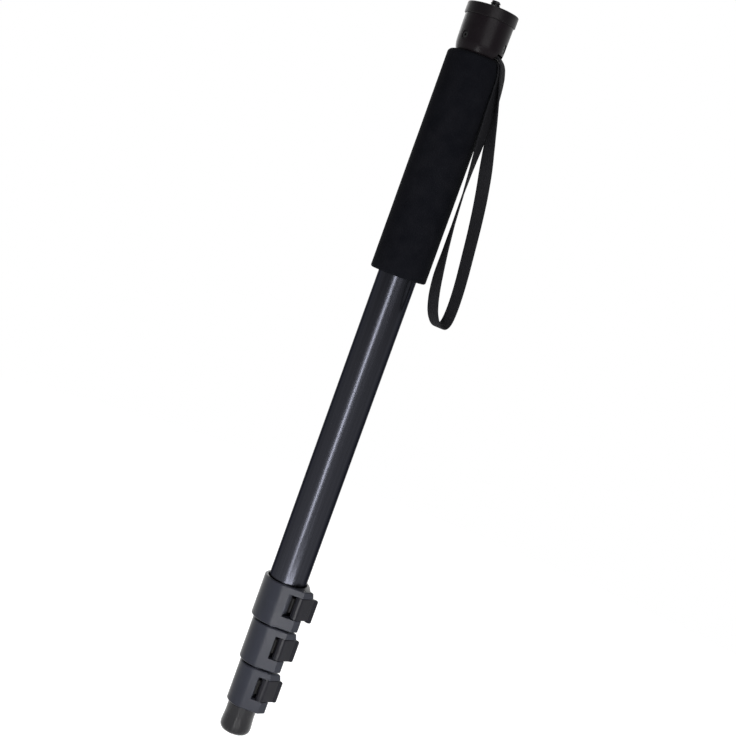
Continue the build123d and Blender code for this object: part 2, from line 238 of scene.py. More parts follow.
def turned(profile: Profile, name: str, sides: int, ends: Ends) -> Piece:
    """Turns a profile round the Z axis, ring by ring.

    Args:
        profile: Radius and height of each ring, in order.
        name: The new object's name.
        sides: Number of points on each ring, an even one.
        ends: Whether the first and the last ring stay open or each get a face.

    Returns:
        The turned object.
    """
    deselect_all()
    radius, height = profile[0]
    bpy.ops.mesh.primitive_circle_add(vertices=sides, radius=radius, location=(0, 0, height))
    piece = bpy.context.object
    bpy.ops.object.transform_apply(location=True, rotation=True, scale=True)
    bpy.ops.object.mode_set(mode="EDIT")
    bpy.ops.mesh.select_all(action="SELECT")
    for (before, low), (after, high) in zip(profile, profile[1:]):
        bpy.ops.mesh.extrude_region_move(TRANSFORM_OT_translate={"value": (0, 0, high - low)})
        if not math.isclose(before, after):
            ratio = after / before
            bpy.ops.transform.resize(value=(ratio, ratio, 1), center_override=(0, 0, high))
    if ends is Ends.CAPPED:
        for end in (min, max):
            select_end_ring(piece, end)
            bpy.ops.mesh.fill_grid()
    bpy.ops.object.mode_set(mode="OBJECT")
    mend_mesh(piece)
    return settle(piece, name)


def select_end_ring(piece: Piece, end: Callable) -> None:
    """Selects the edges of one open end of a turned mesh in edit mode.

    Args:
        piece: The object being edited.
        end: min for the lower end, max for the higher one.
    """
    mesh = bmesh.from_edit_mesh(piece.data)
    rim = [edge for edge in mesh.edges if edge.is_boundary]
    wanted = end(edge.verts[0].co.z for edge in rim)
    bpy.ops.mesh.select_all(action="DESELECT")
    for edge in rim:
        edge.select = abs(edge.verts[0].co.z - wanted) < RING_GAP
    mesh.select_flush_mode()
    bmesh.update_edit_mesh(piece.data)


def arc(centre: tuple[float, float], radius: float, start: float, end: float,
        steps: int) -> Profile:
    """Points on an arc of a turned profile.

    Args:
        centre: Radius and height of the arc's middle.
        radius: The arc's own radius.
        start: First angle, in degrees, counted from outwards to upwards.
        end: Last angle, in degrees.
        steps: Number of steps between the two.

    Returns:
        The points, both ends included.
    """
    points = []
    for step in range(steps + 1):
        angle = math.radians(start + (end - start) * step / steps)
        points.append((centre[0] + radius * math.cos(angle),
                       centre[1] + radius * math.sin(angle)))
    return points


class Sheet:
    """A node tree, with short calls to add nodes and to join their sockets."""

    def __init__(self, tree: bpy.types.NodeTree) -> None:
        """Keeps the tree and empties it."""
        self.tree = tree
        self.tree.nodes.clear()

    def add(self, kind: str, *values: object, **settings: object) -> Node:
        """Adds a node.

        Args:
            kind: The node's type name.
            *values: Outputs or plain values for its first inputs, in order.
            **settings: Values of the node's own properties.

        Returns:
            The new node.
        """
        node = self.tree.nodes.new(kind)
        for key, value in settings.items():
            setattr(node, key, value)
        for value, target in zip(values, node.inputs):
            self.feed(value, target)
        return node

    def join(self, source: Socket, target: Socket) -> None:
        """Joins an output to an input."""
        self.tree.links.new(source, target)

    def feed(self, value: object, target: Socket) -> None:
        """Joins an output to an input, or sets the input to a plain value.

        Args:
            value: The output or the plain value.
            target: The input.
        """
        if isinstance(value, Socket):
            self.join(value, target)
        else:
            target.default_value = value

    def math(self, operation: str, first: Socket | float, second: Socket | float = 0.5,
             clamp: bool = False) -> Socket:
        """Adds a Math node fed by sockets or numbers.

        Args:
            operation: The node's operation.
            first: A socket or a number.
            second: A socket or a number. Operations on one value don't read it.
            clamp: Keeps the result between 0 and 1.

        Returns:
            The node's output.
        """
        node = self.add("ShaderNodeMath", first, second, operation=operation, use_clamp=clamp)
        return node.outputs[0]

    def mix(self, factor: Socket, low: Colour, high: Colour) -> Socket:
        """Mixes two colours by a mask.

        Args:
            factor: The mask's output.
            low: Colour where the mask is 0.
            high: Colour where the mask is 1.

        Returns:
            The mixed colour's output.
        """
        node = self.add("ShaderNodeMix", data_type="RGBA")
        self.join(factor, node.inputs["Factor"])
        node.inputs["A"].default_value = (*low, 1)
        node.inputs["B"].default_value = (*high, 1)
        return node.outputs["Result"]

    def remap(self, value: Socket, low: float, high: float, new_low: float = 0.0,
              new_high: float = 1.0) -> Socket:
        """Maps a value from one range to another and keeps it there.

        Args:
            value: The output to map.
            low: Start of the old range.
            high: End of the old range.
            new_low: Start of the new range.
            new_high: End of the new range.

        Returns:
            The mapped value's output.
        """
        node = self.add("ShaderNodeMapRange", value, low, high, new_low, new_high, clamp=True)
        return node.outputs["Result"]

    def noise(self, vector: Socket, scale: Socket | float, detail: float = 2.0,
              roughness: float = 0.5) -> Socket:
        """Adds a noise texture.

        Args:
            vector: The coordinates that it follows.
            scale: A socket or a number.
            detail: How many finer layers it has.
            roughness: How strong the finer layers are.

        Returns:
            The noise's output.
        """
        node = self.add("ShaderNodeTexNoise", vector)
        self.feed(scale, node.inputs["Scale"])
        node.inputs["Detail"].default_value = detail
        node.inputs["Roughness"].default_value = roughness
        return node.outputs["Fac"]

    def cells(self, vector: Socket, scale: Socket, feature: str) -> Socket:
        """Adds a cell texture.

        Args:
            vector: The coordinates that it follows.
            scale: The scale's output.
            feature: Which distance it gives.

        Returns:
            The distance's output.
        """
        node = self.add("ShaderNodeTexVoronoi", vector, feature=feature)
        self.join(scale, node.inputs["Scale"])
        return node.outputs["Distance"]


class EffectGroup:
    """A shader node group with named inputs and outputs, shared by several finishes."""

    def __init__(self, name: str, inputs: dict[str, float], outputs: tuple[str, ...]) -> None:
        """Starts the group.

        Args:
            name: The group's name.
            inputs: Number inputs with their usual values. A Vector input comes first.
            outputs: Names of the value outputs.
        """
        self.tree = bpy.data.node_groups.new(name, "ShaderNodeTree")
        self.sheet = Sheet(self.tree)
        face = self.tree.interface
        face.new_socket("Vector", in_out="INPUT", socket_type="NodeSocketVector")
        for key, value in inputs.items():
            socket = face.new_socket(key, in_out="INPUT", socket_type="NodeSocketFloat")
            socket.default_value = value
        for key in outputs:
            face.new_socket(key, in_out="OUTPUT", socket_type="NodeSocketFloat")
        self.inlet = self.sheet.add("NodeGroupInput")
        self.outlet = self.sheet.add("NodeGroupOutput")

    def give(self, name: str, value: Socket) -> None:
        """Joins a value to the output of that name."""
        self.sheet.join(value, self.outlet.inputs[name])

    def place(self, sheet: Sheet, vector: Socket, **values: float) -> Node:
        """Puts the group into a material.

        Args:
            sheet: The material's sheet.
            vector: The coordinates that the effect follows.
            **values: Input values, with underscores for the spaces in their names.

        Returns:
            The group's node in the material.
        """
        node = sheet.add("ShaderNodeGroup", vector, node_tree=self.tree)
        for key, value in values.items():
            node.inputs[key.replace("_", " ")].default_value = value
        return node


def moulded_grain() -> EffectGroup:
    """Fine eroded texture of a moulded part, with a broad unevenness in its gloss.

    Returns:
        A group with the outputs Height and Smudge.
    """
    group = EffectGroup("moulded grain", {"Grain Size": 0.0004, "Smudge Size": 0.012},
                        ("Height", "Smudge"))
    sheet, inlet = group.sheet, group.inlet
    where = inlet.outputs["Vector"]
    scale = sheet.math("DIVIDE", 1.0, inlet.outputs["Grain Size"])
    pits = sheet.math("MULTIPLY", sheet.cells(where, scale, "SMOOTH_F1"), 0.6)
    specks = sheet.math("MULTIPLY", sheet.noise(where, scale, detail=3.0), 0.5)
    group.give("Height", sheet.math("ADD", pits, specks))
    broad = sheet.noise(where, sheet.math("DIVIDE", 1.0, inlet.outputs["Smudge Size"]),
                        detail=4.0, roughness=0.6)
    group.give("Smudge", sheet.remap(broad, *NOISE_MIDDLE))
    return group


def drawn_lines() -> EffectGroup:
    """Faint lines along the axis, as a drawn and anodised tube has.

    Returns:
        A group with the outputs Lines and Bands.
    """
    group = EffectGroup("drawn lines", {"Lines Round": 260.0, "Length": 0.09},
                        ("Lines", "Bands"))
    sheet, inlet = group.sheet, group.inlet
    split = sheet.add("ShaderNodeSeparateXYZ", inlet.outputs["Vector"])
    flat = sheet.add("ShaderNodeCombineXYZ", split.outputs["X"], split.outputs["Y"])
    unit = sheet.add("ShaderNodeVectorMath", flat.outputs[0], operation="NORMALIZE")
    scaled = sheet.add("ShaderNodeVectorMath", unit.outputs[0], operation="SCALE")
    sheet.join(sheet.math("DIVIDE", inlet.outputs["Lines Round"], 2 * math.pi),
               scaled.inputs["Scale"])
    parts = sheet.add("ShaderNodeSeparateXYZ", scaled.outputs[0])
    along = sheet.math("DIVIDE", split.outputs["Z"], inlet.outputs["Length"])
    place = sheet.add("ShaderNodeCombineXYZ", parts.outputs["X"], parts.outputs["Y"], along)
    for output, scale, detail in (("Lines", 1.0, 3.0), ("Bands", 0.12, 2.0)):
        noise = sheet.noise(place.outputs[0], scale, detail)
        group.give(output, sheet.remap(noise, *NOISE_MIDDLE))
    return group


def foam_cells() -> EffectGroup:
    """Closed foam cells with broken ones here and there.

    Returns:
        A group with the outputs Height and Mottle.
    """
    group = EffectGroup("foam cells", {"Cell Size": 0.0006}, ("Height", "Mottle"))
    sheet, inlet = group.sheet, group.inlet
    where = inlet.outputs["Vector"]
    scale = sheet.math("DIVIDE", 1.0, inlet.outputs["Cell Size"])
    cells = sheet.cells(where, scale, "F1")
    pits = sheet.cells(where, sheet.math("MULTIPLY", scale, 0.31), "SMOOTH_F1")
    height = sheet.math("ADD", sheet.remap(cells, 0.0, 0.5, 0.0, 0.7),
                        sheet.remap(pits, 0.0, 0.25, 0.0, 0.5))
    group.give("Height", height)
    patches = sheet.noise(where, sheet.math("MULTIPLY", scale, 0.06), detail=5.0)
    group.give("Mottle", sheet.remap(patches, *NOISE_MIDDLE))
    return group


def webbing_weave() -> EffectGroup:
    """Plain-woven tape: warp ends side by side, crossed by the weft at a steady pitch.

    The coordinates are the strap's own: X across its width in units of the width, and Y
    along it in the same units.

    Returns:
        A group with the outputs Height and a painted sheen for the webbing's colour, lighter
        where the threads cross over and darker between them.
    """
    group = EffectGroup("webbing weave", {"Warp Ends": 14.0, "Picks": 11.0},
                        ("Height", "Painted Sheen"))
    sheet, inlet = group.sheet, group.inlet
    split = sheet.add("ShaderNodeSeparateXYZ", inlet.outputs["Vector"])
    across = sheet.math("MULTIPLY", split.outputs["X"], inlet.outputs["Warp Ends"])
    along = sheet.math("MULTIPLY", split.outputs["Y"], inlet.outputs["Picks"])
    column = sheet.math("FLOOR", across)
    shifted = sheet.math("ADD", along, sheet.math("MULTIPLY", column, 0.5))
    humps = []
    for count in (across, shifted):
        wave = sheet.math("SINE", sheet.math("MULTIPLY", count, math.pi))
        humps.append(sheet.math("POWER", sheet.math("ABSOLUTE", wave), 0.6))
    bump = sheet.math("MULTIPLY", *humps)
    noise = sheet.noise(inlet.outputs["Vector"], 90.0)
    group.give("Height", sheet.math("ADD", bump, sheet.math("MULTIPLY", noise, 0.25)))
    # Painted sheen: a lighter colour where the threads cross over, painted shade between them
    group.give("Painted Sheen", sheet.math("MULTIPLY", bump, noise))
    return group


def scuffs() -> EffectGroup:
    """Handling marks: thin short scratches and rubbed patches.

    Returns:
        A group with the output Mask.
    """
    group = EffectGroup("scuffs", {"Size": 0.006, "Amount": 0.35}, ("Mask",))
    sheet, inlet = group.sheet, group.inlet
    scale = sheet.math("DIVIDE", 1.0, inlet.outputs["Size"])
    patch = sheet.noise(inlet.outputs["Vector"], scale, detail=6.0, roughness=0.7)
    stretch = sheet.add("ShaderNodeVectorMath", inlet.outputs["Vector"], (9.0, 9.0, 0.8),
                        operation="MULTIPLY")
    lines = sheet.noise(stretch.outputs[0], scale)
    thin = sheet.math("MULTIPLY", sheet.remap(lines, 0.66, 0.74), 0.5)
    both = sheet.math("MAXIMUM", thin, sheet.remap(patch, 0.56, 0.72))
    group.give("Mask", sheet.math("MULTIPLY", both, inlet.outputs["Amount"], clamp=True))
    return group


@dataclass(frozen=True)
class Effects:
    """The shader node groups that the finishes share, each built once."""

    grain: EffectGroup = field(default_factory=moulded_grain)
    lines: EffectGroup = field(default_factory=drawn_lines)
    cells: EffectGroup = field(default_factory=foam_cells)
    weave: EffectGroup = field(default_factory=webbing_weave)
    scuffs: EffectGroup = field(default_factory=scuffs)


@dataclass(frozen=True)
class Finish:
    """What all finishes share: a name, a pair of colours and the shader's plain values."""

    name: str
    colour: Colour
    # The second colour: wear, banded or mottled tone, and on the webbing a painted sheen on the
    # weave's crossings
    wear_and_sheen_colour: Colour
    roughness: tuple[float, float]
    bump: float
    bump_depth: float = 0.0001
    metallic: float = 0.0
    edge_tint: float = 1.0
    specular: float = 0.5
    upright_gloss: float = 0.0

    def material(self, effects: Effects) -> bpy.types.Material:
        """Builds the material.

        Args:
            effects: The shared groups.

        Returns:
            The material.
        """
        material = bpy.data.materials.new(self.name)
        material.use_nodes = True
        material.diffuse_color = (*self.colour, 1)
        sheet = Sheet(material.node_tree)
        shader = sheet.add("ShaderNodeBsdfPrincipled")
        shader.inputs["Metallic"].default_value = self.metallic
        shader.inputs["Specular IOR Level"].default_value = self.specular
        shader.inputs["Specular Tint"].default_value = (*[self.edge_tint] * 3, 1)
        if self.upright_gloss > 0.0:
            shader.inputs["Anisotropic"].default_value = self.upright_gloss
            shader.inputs["Anisotropic Rotation"].default_value = QUARTER_TURN
            tangent = sheet.add("ShaderNodeTangent", direction_type="RADIAL", axis="Z")
            sheet.join(tangent.outputs[0], shader.inputs["Tangent"])
        sheet.add("ShaderNodeOutputMaterial", shader.outputs[0])
        places = sheet.add("ShaderNodeTexCoord")
        wear_and_sheen, gloss, height = self.pattern(effects, sheet, places)
        # The second colour follows the first mask, which on the webbing is a painted sheen
        sheet.join(sheet.mix(wear_and_sheen, self.colour, self.wear_and_sheen_colour), shader.inputs["Base Color"])
        sheet.join(sheet.remap(gloss, 0.0, 1.0, *self.roughness), shader.inputs["Roughness"])
        bump = sheet.add("ShaderNodeBump", self.bump, self.bump_depth)
        sheet.join(height, bump.inputs["Height"])
        sheet.join(bump.outputs["Normal"], shader.inputs["Normal"])
        return material

    def pattern(self, effects: Effects, sheet: Sheet, places: Node) -> Masks:
        """Places the finish's own effects into its material.

        Args:
            effects: The shared groups.
            sheet: The material's sheet.
            places: The material's coordinates.

        Returns:
            The masks of the second colour and of the second roughness, and the height.
        """
        raise NotImplementedError


@dataclass(frozen=True)
class MouldedFinish(Finish):
    """Moulded plastic, rubber or cast metal: eroded grain, uneven gloss, rubbed patches."""

    grain_size: float = 0.0004
    smudge_size: float = 0.012
    scuff_size: float = 0.006
    scuff_amount: float = 0.3

    def pattern(self, effects: Effects, sheet: Sheet, places: Node) -> Masks:
        """Places grain and scuffs, as Finish.pattern says."""
        where = places.outputs["Object"]
        grain = effects.grain.place(sheet, where, Grain_Size=self.grain_size,
                                    Smudge_Size=self.smudge_size)
        rubbed = effects.scuffs.place(sheet, where, Size=self.scuff_size,
                                      Amount=self.scuff_amount)
        return rubbed.outputs["Mask"], grain.outputs["Smudge"], grain.outputs["Height"]


@dataclass(frozen=True)
class DrawnFinish(Finish):
    """Drawn, anodised tube: faint lines along it and a slightly banded tone."""

    lines_round: float = 260.0
    line_length: float = 0.09

    def pattern(self, effects: Effects, sheet: Sheet, places: Node) -> Masks:
        """Places the drawn lines, as Finish.pattern says."""
        lines = effects.lines.place(sheet, places.outputs["Object"],
                                    Lines_Round=self.lines_round, Length=self.line_length)
        return lines.outputs["Bands"], lines.outputs["Lines"], lines.outputs["Lines"]


@dataclass(frozen=True)
class FoamFinish(Finish):
    """Closed-cell foam."""

    cell_size: float = 0.0006

    def pattern(self, effects: Effects, sheet: Sheet, places: Node) -> Masks:
        """Places the foam's cells, as Finish.pattern says."""
        cells = effects.cells.place(sheet, places.outputs["Object"], Cell_Size=self.cell_size)
        return cells.outputs["Mottle"], cells.outputs["Mottle"], cells.outputs["Height"]


@dataclass(frozen=True)
class WovenFinish(Finish):
    """Woven webbing that follows the strap's own UV map."""

    warp_ends: float = 14.0
    picks: float = 11.0

    def pattern(self, effects: Effects, sheet: Sheet, places: Node) -> Masks:
        """Places the weave, as Finish.pattern says."""
        weave = effects.weave.place(sheet, places.outputs["UV"], Warp_Ends=self.warp_ends,
                                    Picks=self.picks)
        # The colour mask is the weave's painted sheen on the threads' crossings
        return weave.outputs["Painted Sheen"], weave.outputs["Height"], weave.outputs["Height"]


TUBE = DrawnFinish("anodised tube", (0.026, 0.027, 0.033), (0.035, 0.036, 0.044),
                   (0.20, 0.30), 0.10, 0.00005, metallic=1.0, edge_tint=0.38)
LOCK = MouldedFinish("lock plastic", (0.013, 0.014, 0.019), (0.022, 0.024, 0.031),
                     (0.30, 0.40), 0.22, 0.00006, specular=0.27, edge_tint=0.4,
                     upright_gloss=0.8, grain_size=0.00035)
LEVER = MouldedFinish("lever plastic", (0.006, 0.006, 0.008), (0.013, 0.013, 0.016),
                      (0.26, 0.36), 0.22, 0.00006, specular=0.26, edge_tint=0.4,
                      upright_gloss=0.8, grain_size=0.00035)
NYLON = MouldedFinish("black nylon", (0.007, 0.007, 0.007), (0.014, 0.014, 0.014),
                      (0.45, 0.60), 0.10, 0.00005, specular=0.05, grain_size=0.0003)
STEEL = MouldedFinish("bright steel", (0.42, 0.42, 0.43), (0.30, 0.30, 0.31),
                      (0.22, 0.38), 0.10, 0.00003, metallic=1.0, grain_size=0.0002)
BLACK_STEEL = MouldedFinish("blackened steel", (0.018, 0.018, 0.019), (0.10, 0.10, 0.10),
                            (0.30, 0.45), 0.15, 0.00003, metallic=0.8, grain_size=0.0002,
                            scuff_size=0.0015, scuff_amount=0.25)
HEAD = MouldedFinish("head plastic", (0.0072, 0.0055, 0.0068), (0.014, 0.011, 0.013),
                     (0.26, 0.40), 0.20, 0.00005, specular=0.16, edge_tint=0.4,
                     grain_size=0.0003)
PLATFORM = MouldedFinish("platform metal", (0.0072, 0.0060, 0.0070), (0.018, 0.017, 0.019),
                         (0.30, 0.46), 0.25, 0.00005, specular=0.19, edge_tint=0.4,
                         grain_size=0.0003, scuff_amount=0.2)
PAD = MouldedFinish("pad rubber", (0.010, 0.010, 0.010), (0.022, 0.022, 0.022),
                    (0.65, 0.85), 0.35, 0.00008, specular=0.3, grain_size=0.0003)
FOOT = MouldedFinish("foot rubber", (0.008, 0.008, 0.009), (0.024, 0.024, 0.025),
                     (0.20, 0.28), 0.22, 0.00006, specular=0.42, edge_tint=0.4,
                     upright_gloss=0.95, grain_size=0.0004)
FOAM = FoamFinish("grip foam", (0.0024, 0.0027, 0.0042), (0.0056, 0.0058, 0.0076),
                  (0.85, 1.0), 0.45, 0.00025, specular=0.04, cell_size=0.0006)
# The webbing's second colour is a painted sheen on the weave's crossings
WEBBING = WovenFinish("strap webbing", (0.006, 0.006, 0.0075), (0.013, 0.013, 0.015),
                      (0.60, 0.80), 0.6, 0.00022, specular=0.10)

# Which finish each rigid node gets
NODE_FINISHES = {
    "upper_tube": TUBE,
    "head_body": HEAD,
    "head_screws": BLACK_STEEL,
    "strap_pin": BLACK_STEEL,
    "camera_platform": PLATFORM,
    "rubber_foot": FOOT,
    "foot_plug": NYLON,
    "foam_grip": FOAM,
    "wrist_strap": WEBBING,
    "platform_pad": PAD,
    "camera_screw": BLACK_STEEL,
}
NUMBERED_FINISHES = {
    "leg_tube": TUBE,
    "lock_collar": LOCK,
    "lock_lever": LEVER,
    "lever_pin": STEEL,
    "lock_shoe": NYLON,
    "guide_bush": NYLON,
    "top_bush": NYLON,
}


class FinishShelf:
    """Builds each finish's material once and hands it out."""

    def __init__(self) -> None:
        """Builds the shared groups."""
        self.effects = Effects()
        self.made: dict[str, bpy.types.Material] = {}

    def material(self, finish: Finish) -> bpy.types.Material:
        """Gives the material of a finish.

        Args:
            finish: The finish.

        Returns:
            Its material, built at the first call.
        """
        if finish.name not in self.made:
            self.made[finish.name] = finish.material(self.effects)
        return self.made[finish.name]

    def dress(self, piece: Piece, finish: Finish) -> None:
        """Gives a piece one finish all over.

        Args:
            piece: The object.
            finish: Its finish.
        """
        piece.data.materials.clear()
        piece.data.materials.append(self.material(finish))


@dataclass(frozen=True)
class Lamp:
    """A soft box that the camera doesn't see: its middle, the point it faces, width, height."""

    name: str
    place: Place
    aim: Place
    size: tuple[float, float]
    watts: float

    def build(self) -> None:
        """Adds the lamp."""
        data = bpy.data.lights.new(self.name, "AREA")
        data.shape = "RECTANGLE"
        data.size, data.size_y = self.size
        data.energy = self.watts
        lamp = bpy.data.objects.new(self.name, data)
        bpy.context.scene.collection.objects.link(lamp)
        lamp.location = self.place
        ahead = Vector(self.aim) - Vector(self.place)
        lamp.rotation_euler = ahead.to_track_quat("-Z", "Y").to_euler()
        lamp.visible_camera = False


# A broad light from the front right, one from behind, a narrow tall one just left of the
# camera, which draws the streak along the tubes, and a small one low before the foot
LAMPS = (
    Lamp("key softbox", (0.42, -1.25, 0.75), (0.0, 0.0, 0.15), (1.0, 0.8), 12.5),
    Lamp("rear softbox", (-0.55, 1.30, 0.85), (0.0, 0.0, 0.25), (1.3, 1.1), 5.5),
    Lamp("narrow strip", (-0.058, -0.45, 0.17), (0.0, 0.0, 0.17), (0.06, 0.33), 1.5),
    Lamp("low card", (0.034, -0.150, 0.048), (0.0, 0.0, 0.06), (0.10, 0.034), 0.30),
)


@dataclass
class Studio:
    """The camera, the lamps, the floor and the white surroundings."""

    lens: float = 68.53
    sensor: float = 36.0
    camera_place: Place = (0.0022, -0.8800, 0.35475)
    camera_aim: Place = (0.0022, 0.0, 0.25375)
    camera_roll: float = 19.87
    camera_range: tuple[float, float] = (0.01, 50.0)
    floor_size: float = 8.0
    floor_white: float = 0.50
    floor_glow: float = 0.80
    # Distances on the floor between which its shadows fade to plain white
    fade_start: float = 0.30
    fade_end: float = 0.90
    # Brightness of the room behind the camera and behind the object, as light and in
    # reflections, and the part of the Y direction over which the one turns to the other
    room_light: tuple[float, float] = (0.20, 0.75)
    room_shown: tuple[float, float] = (0.12, 1.0)
    room_turn: float = 0.45

    def build(self) -> None:
        """Adds everything round the object."""
        self.add_camera()
        self.add_world()
        for lamp in LAMPS:
            lamp.build()
        self.add_floor()

    def add_camera(self) -> None:
        """Adds the camera, rolled so that the object leans to the right."""
        data = bpy.data.cameras.new("camera")
        data.lens = self.lens
        data.sensor_width = self.sensor
        data.clip_start, data.clip_end = self.camera_range
        camera = bpy.data.objects.new("camera", data)
        bpy.context.scene.collection.objects.link(camera)
        place, aim = Vector(self.camera_place), Vector(self.camera_aim)
        ahead = (aim - place).normalized()
        right = ahead.cross(Vector((0, 0, 1))).normalized()
        up = right.cross(ahead)
        roll = math.radians(self.camera_roll)
        rolled_right = right * math.cos(roll) + up * math.sin(roll)
        rolled_up = up * math.cos(roll) - right * math.sin(roll)
        turn = Matrix((rolled_right, rolled_up, -ahead)).transposed().to_4x4()
        camera.matrix_world = Matrix.Translation(place) @ turn
        bpy.context.scene.camera = camera

    def shown(self, sheet: Sheet, path: Node) -> Socket:
        """Masks the rays that show a surface, straight or in another one.

        Args:
            sheet: The sheet of the world or material.
            path: Its Light Path node.

        Returns:
            1 for camera rays and for reflected and refracted ones, 0 for those of light.
        """
        bent = sheet.math("MAXIMUM", path.outputs["Is Glossy Ray"],
                          path.outputs["Is Transmission Ray"])
        return sheet.math("MAXIMUM", path.outputs["Is Camera Ray"], bent)

    def add_world(self) -> None:
        """Makes the surroundings bright behind the object and dim behind the camera.

        The camera itself sees plain white on all sides. Reflections get more contrast
        than the light does, so each has its own levels.
        """
        world = bpy.data.worlds.new("white surroundings")
        bpy.context.scene.world = world
        world.use_nodes = True
        sheet = Sheet(world.node_tree)
        path = sheet.add("ShaderNodeLightPath")
        places = sheet.add("ShaderNodeTexCoord")
        split = sheet.add("ShaderNodeSeparateXYZ", places.outputs["Generated"])
        lit, seen = (sheet.remap(split.outputs["Y"], -self.room_turn, self.room_turn, *levels)
                     for levels in (self.room_light, self.room_shown))
        seen = sheet.math("MAXIMUM", path.outputs["Is Camera Ray"], seen)
        rooms = [sheet.add("ShaderNodeBackground", (1, 1, 1, 1), strength).outputs[0]
                 for strength in (lit, seen)]
        mixed = sheet.add("ShaderNodeMixShader", self.shown(sheet, path), *rooms)
        sheet.add("ShaderNodeOutputWorld", mixed.outputs[0])

    def add_floor(self) -> None:
        """Adds the white floor, which shows the shadow only near the object."""
        deselect_all()
        bpy.ops.mesh.primitive_plane_add(size=self.floor_size, location=(0, 0, 0))
        floor = settle(bpy.context.object, "floor")
        material = bpy.data.materials.new("white floor")
        material.use_nodes = True
        sheet = Sheet(material.node_tree)
        places = sheet.add("ShaderNodeTexCoord")
        distance = sheet.add("ShaderNodeVectorMath", places.outputs["Object"], operation="LENGTH")
        far = sheet.remap(distance.outputs["Value"], self.fade_start, self.fade_end)
        diffuse = sheet.add("ShaderNodeBsdfDiffuse", (*[self.floor_white] * 3, 1)).outputs[0]
        glow, white = (sheet.add("ShaderNodeEmission", (1, 1, 1, 1), strength).outputs[0]
                       for strength in (self.floor_glow, 1.0))
        near = sheet.add("ShaderNodeAddShader", diffuse, glow).outputs[0]
        seen = sheet.add("ShaderNodeMixShader", far, near, white).outputs[0]
        shown = self.shown(sheet, sheet.add("ShaderNodeLightPath"))
        mixed = sheet.add("ShaderNodeMixShader", shown, diffuse, seen)
        sheet.add("ShaderNodeOutputMaterial", mixed.outputs[0])
        floor.data.materials.append(material)
        floor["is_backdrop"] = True


@dataclass
class WristStrap:
    """The flat webbing loop, one ribbon whose two ends lie on each other in the head's notch."""

    shelf: FinishShelf
    width: float = 8.4 * MM
    thickness: float = 1.2 * MM
    corner_power: float = 6.0
    ring_points: int = 28
    curve_resolution: int = 24
    exit_height: float = 3.1 * MM
    exit_place: tuple[float, float] = (0.0139, -0.0056)
    smooth_angle: float = 50.0

    def build(self) -> None:
        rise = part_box("head_body")[0].z
        points = [Vector((x, y, rise + height)) for x, y, height, _ in STRAP_ROUTE]
        centres = self.smooth_line(points)
        strap = self.ribbon(centres, points)
        self.shelf.dress(strap, WEBBING)
        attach(strap, "upper_section")
        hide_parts("wrist_strap")

    def smooth_line(self, points: list[Vector]) -> list[Vector]:
        """Reads the smooth line through the route.

        Args:
            points: The route's points.

        Returns:
            Points on the line, close together.
        """
        curve = bpy.data.curves.new("strap line", "CURVE")
        curve.dimensions = "3D"
        spline = curve.splines.new("NURBS")
        spline.points.add(len(points) - 1)
        for place, point in zip(points, spline.points):
            point.co = (*place, 1)
        spline.order_u = 3
        spline.use_endpoint_u = True
        spline.resolution_u = self.curve_resolution
        holder = bpy.data.objects.new("strap line", curve)
        bpy.context.scene.collection.objects.link(holder)
        bpy.context.view_layer.update()
        mesh = bpy.data.meshes.new_from_object(holder)
        line = [vertex.co.copy() for vertex in mesh.vertices]
        bpy.data.objects.remove(holder)
        bpy.data.curves.remove(curve)
        bpy.data.meshes.remove(mesh)
        return line

    def turn_at(self, share: float, points: list[Vector]) -> float:
        """Bearing of the webbing's width at a share of the route's length.

        Args:
            share: From 0 at the first point to 1 at the last.
            points: The route's points.

        Returns:
            The bearing from +X, in radians.
        """
        runs = [(after - before).length for before, after in zip(points, points[1:])]
        left = share * sum(runs)
        index = 0
        while left > runs[index] and index < len(runs) - 1:
            left -= runs[index]
            index += 1
        first, second = (turn for *_, turn in STRAP_ROUTE[index:index + 2])
        return math.radians(first + (second - first) * min(left / runs[index], 1.0))

    def section(self) -> list[tuple[float, float]]:
        """The webbing's section: flat faces with rounded selvages.

        Returns:
            Places across the width and through the thickness.
        """
        ring = []
        for step in range(self.ring_points):
            angle = 2 * math.pi * step / self.ring_points
            parts = ((math.cos(angle), self.width / 2), (math.sin(angle), self.thickness / 2))
            ring.append(tuple(math.copysign(abs(part) ** (2 / self.corner_power), part) * half
                              for part, half in parts))
        return ring

    def ribbon(self, centres: list[Vector], points: list[Vector]) -> Piece:
        """Draws the section along the line.

        Args:
            centres: Points on the line.
            points: The route's points, which set the twist.

        Returns:
            The ribbon, with a UV map in units of its width.
        """
        mesh = bmesh.new()
        layer = mesh.loops.layers.uv.new("webbing")
        section = self.section()
        steps = [0.0]
        for before, after in zip(centres, centres[1:]):
            steps.append(steps[-1] + (after - before).length)
        rings = []
        for index, centre in enumerate(centres):
            before, after = centres[max(index - 1, 0)], centres[min(index + 1, len(centres) - 1)]
            along = (after - before).normalized()
            turn = self.turn_at(steps[index] / steps[-1], points)
            across = Vector((math.cos(turn), math.sin(turn), 0))
            across = (across - along * across.dot(along)).normalized()
            through = along.cross(across)
            rings.append([mesh.verts.new(centre + across * x + through * y) for x, y in section])
        count = len(section)
        for index, (low, high) in enumerate(zip(rings, rings[1:])):
            for side in range(count):
                following = (side + 1) % count
                face = mesh.faces.new((low[side], low[following], high[following], high[side]))
                corners = ((side, index), (following, index), (following, index + 1),
                           (side, index + 1))
                for loop, (place, step) in zip(face.loops, corners):
                    across = section[place][0] / self.width + 0.5
                    loop[layer].uv = (across, steps[step] / self.width)
        mesh.faces.new(list(reversed(rings[0])))
        mesh.faces.new(rings[-1])
        bmesh.ops.recalc_face_normals(mesh, faces=mesh.faces)
        data = bpy.data.meshes.new("webbing_strap")
        mesh.to_mesh(data)
        mesh.free()
        piece = bpy.data.objects.new("webbing_strap", data)
        bpy.context.scene.collection.objects.link(piece)
        shade(piece, self.smooth_angle)
        return piece


